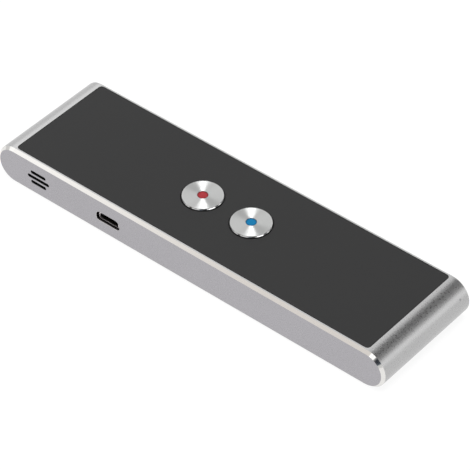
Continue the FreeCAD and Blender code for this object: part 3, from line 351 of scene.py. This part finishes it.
red_x, blue_x = -9.1 * MM, 8.5 * MM
finish = {
    "housing_metal": housing_metal(),
    "front_coating": front_coating(),
    "red_enamel": enamel("red_enamel", (0.275, 0.024, 0.030), (0.14, 0.011, 0.014), red_x),
    "blue_enamel": enamel("blue_enamel", (0.001, 0.132, 0.287), (0.001, 0.065, 0.15), blue_x),
    "adhesive": plastic("adhesive", (0.02, 0.02, 0.02), 0.8, 0.2, 0.03),
    "frame_plastic": plastic("frame_plastic", (0.028, 0.028, 0.03), 0.55, 0.2, 0.02),
    "plunger_plastic": plastic("plunger_plastic", (0.010, 0.010, 0.010), 0.55, 0.3, 0.01, spec=0.2),
    "switch_plastic": plastic("switch_plastic", (0.02, 0.02, 0.02), 0.5, 0.2, 0.01),
    "steel_sheet": metal("steel_sheet", (0.56, 0.56, 0.57), 0.28, (0.05, 1, 1), 0.1, 0.006),
    "screw_steel": metal("screw_steel", (0.45, 0.46, 0.48), 0.25, (1, 1, 1), 0.2, 0.008),
    "contact_gold": metal("contact_gold", (0.90, 0.62, 0.24), 0.2, (1, 0.1, 1), 0.1, 0.004),
    "board_mask": board_mask(),
    "chip_resin": plastic("chip_resin", (0.016, 0.016, 0.018), 0.55, 0.12, 0.008),
    "ceramic": ceramic(),
    "cell_foil": foil(),
    "tape_white": plastic("tape_white", (0.72, 0.72, 0.69), 0.7, 0.3, 0.03),
    "cell_board": plastic("cell_board", (0.42, 0.24, 0.03), 0.35, 0.8, 0.03),
    "socket_white": plastic("socket_white", (0.72, 0.69, 0.58), 0.45, 0.25, 0.01),
    "speaker_plastic": plastic("speaker_plastic", (0.022, 0.022, 0.024), 0.5, 0.2, 0.02),
    "magnet_nickel": metal("magnet_nickel", (0.50, 0.49, 0.46), 0.22, (1, 1, 1), 0.25, 0.008),
    "coil_copper": winding(),
    "diaphragm_film": plastic("diaphragm_film", (0.07, 0.07, 0.07), 0.4, 0.6, 0.03),
    "cloth_black": cloth("cloth_black", (0.004, 0.004, 0.004)),
    # painted shade: the slot liner is coloured near-black so the speaker slots read as shaded
    "liner_black": plastic("liner_black", (0.004, 0.004, 0.0045), 0.75, 0.2, 0.01, spec=0.15),
    "foam_black": plastic("foam_black", (0.012, 0.012, 0.012), 0.85, 0.15, 0.06),
    "flex_amber": plastic("flex_amber", (0.34, 0.15, 0.02), 0.3, 1.5, 0.02),
    "mic_mesh_metal": metal("mic_mesh_metal", (0.30, 0.30, 0.31), 0.5, (1, 1, 1), 0.06, 0.02),
    "antenna_copper": metal("antenna_copper", (0.80, 0.42, 0.24), 0.28, (1, 1, 1), 0.3, 0.006),
}
socket_sheet = socket()
battery_pair = leads("battery_lead_cover", (0.0, -20.0 * MM), (0.012, 0.012, 0.012), (0.45, 0.012, 0.012))
speaker_pair = leads("speaker_lead_cover", (0.0, 5.0 * MM), (0.012, 0.012, 0.012), (0.45, 0.012, 0.012))
own = {
    "red_button_cap": spun_metal("spun_metal_red", red_x),
    "blue_button_cap": spun_metal("spun_metal_blue", blue_x),
    "usb_shell": socket_sheet,
    "battery_leads": battery_pair,
    "speaker_leads": speaker_pair,
}
for name, obj in nodes.items():
    mat = own.get(name) or finish[slots[name]]
    if not obj.material_slots:
        obj.data.materials.append(mat)
    for s in obj.material_slots:
        s.material = mat

# ---- studio --------------------------------------------------------------------------------------


def floor():
    mesh = bpy.data.meshes.new("floor")
    s = 3.0
    mesh.from_pydata([(-s, -s, 0), (s, -s, 0), (s, s, 0), (-s, s, 0)], [], [(0, 1, 2, 3)])
    obj = bpy.data.objects.new("floor", mesh)
    obj.location.z = -0.00002
    scene.collection.objects.link(obj)
    mat, t = material("floor_white")
    t.shader(Base_Color=(0.12, 0.12, 0.12), Roughness=0.9, Specular_IOR_Level=0.0, Emission_Color=(1, 1, 1), Emission_Strength=0.89)
    mesh.materials.append(mat)
    return obj


floor()


def softbox_world(base, patches):
    """A sky dome of soft, evenly lit panels: (direction, inner angle, outer angle, colour)."""
    world = bpy.data.worlds.new("studio")
    scene.world = world
    t = Tree(world)
    d = t.vmath("NORMALIZE", t.add("TexCoord").outputs["Generated"])
    col = base
    for direction, inner, outer, colour in patches:
        v = Vector(direction).normalized()
        dot = t.vmath("DOT_PRODUCT", d, tuple(v))
        mask = t.step(dot, math.cos(math.radians(outer)), math.cos(math.radians(inner)))
        col = t.mix(mask, col, colour)
    bg = t.add("Background", None, Color=col, Strength=1.0)
    out = t.add("OutputWorld")
    t.nt.links.new(bg.outputs[0], out.inputs["Surface"])


def toward(azimuth, elevation):
    a, e = math.radians(azimuth), math.radians(elevation)
    return (math.cos(a) * math.cos(e), math.sin(a) * math.cos(e), math.sin(e))


softbox_world((0.78, 0.78, 0.78), [
    (toward(178, 42), 18, 34, (1.35, 1.35, 1.35)),      # panel beyond the left end
    (toward(-150, 62), 12, 24, (1.15, 1.15, 1.15)),
    (toward(35, 5), 28, 52, (1.50, 1.50, 1.50)),        # low wall of light behind the right end
    (toward(138, 26), 16, 36, (1.05, 1.05, 1.05)),      # behind the left end
    (toward(141, 35), 4, 14, (1.74, 1.74, 1.74)),
    (toward(119, 49), 4, 11, (1.40, 1.40, 1.40)),
    (toward(56, 45), 8, 31, (0.30, 0.30, 0.30)),        # dark gap between panels
    (toward(60, 65), 14, 23, (0.02, 0.02, 0.02)),
    (toward(172, 68), 6, 15, (1.25, 1.25, 1.25)),
    (toward(-118, 36), 16, 30, (0.89, 0.85, 0.82)),     # warm fill from the front left
    (toward(-145, 32), 11, 18, (1.36, 1.36, 1.36)),     # white panel from the far left
    (toward(-92, 37), 5, 6.5, (1.5, 1.5, 1.5)),         # two small front panels
    (toward(-79, 34), 3.5, 5, (1.5, 1.5, 1.5)),
    (toward(-57, 19), 7, 11, (0.12, 0.15, 0.18)),
    (toward(-7, 14), 13, 15, (2.2, 2.2, 2.2)),          # low panel on the right
    (toward(20, 6), 7, 12, (0.03, 0.03, 0.03)),         # dark edges beside it
    (toward(-40, 16), 8, 12, (0.03, 0.03, 0.03)),
    (toward(-110, 10), 5, 8, (0.03, 0.03, 0.03)),
    (toward(-52, 32), 13, 20, (0.03, 0.035, 0.045)),    # dark camera side
    ((0.08, -0.10, 1.0), 15.3, 16.1, (10.0, 10.0, 10.0)),  # overhead softbox
])
